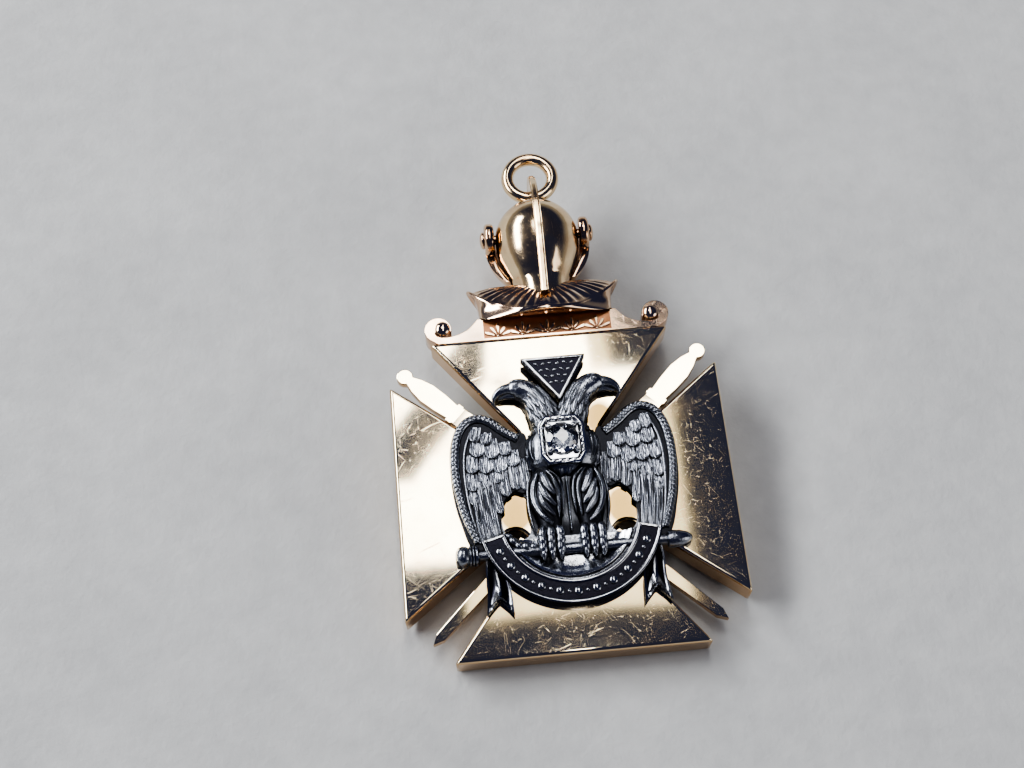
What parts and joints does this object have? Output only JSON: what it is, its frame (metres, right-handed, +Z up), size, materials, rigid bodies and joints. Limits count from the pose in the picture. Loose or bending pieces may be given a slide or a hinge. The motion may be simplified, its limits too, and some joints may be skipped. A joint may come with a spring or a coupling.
{
  "type": "masonic pendant",
  "caption": "Gold cross fob pendant with crossed swords, a dark double-headed eagle relief, a set stone and a helmet with a hinged visor under its hanging ring.",
  "frame": {"origin": "centre of the bounding box's floor, under the pendant as it lies on its back", "axes": "+X to the pendant's right as its front is seen, +Y towards the ring, +Z up, out of its front"},
  "size_m": [0.03, 0.0504, 0.0103],
  "materials": {
    "polished_gold": "polished yellow gold with fine wear scratches",
    "rose_gold": "polished rose gold with chiselled flowers and fan lines",
    "dark_silver": "oxidised white metal, bright on its high points",
    "black_silver": "blackened field with polished edges",
    "bright_silver": "bright-cut white metal",
    "stone": "clear round brilliant"
  },
  "bodies": {
    "root": {"cross": "polished_gold", "sword_left": "polished_gold", "sword_right": "polished_gold", "crest_plate": "rose_gold", "gorget": "rose_gold", "helmet": "polished_gold", "rivet_left": "polished_gold", "rivet_right": "polished_gold", "ring": "polished_gold", "eagle": "dark_silver", "triangle": "black_silver", "ribbon": "black_silver", "dagger": "dark_silver", "stone_setting": "bright_silver", "diamond": "stone"},
    "visor": {"visor": "polished_gold"}
  },
  "joints": [
    {"name": "visor_hinge", "type": "hinge", "parent": "root", "child": "visor", "pos_m": [0, 0.01595, 0.00512], "axis": [1, 0, 0], "range_deg": [0, 50]}
  ]
}
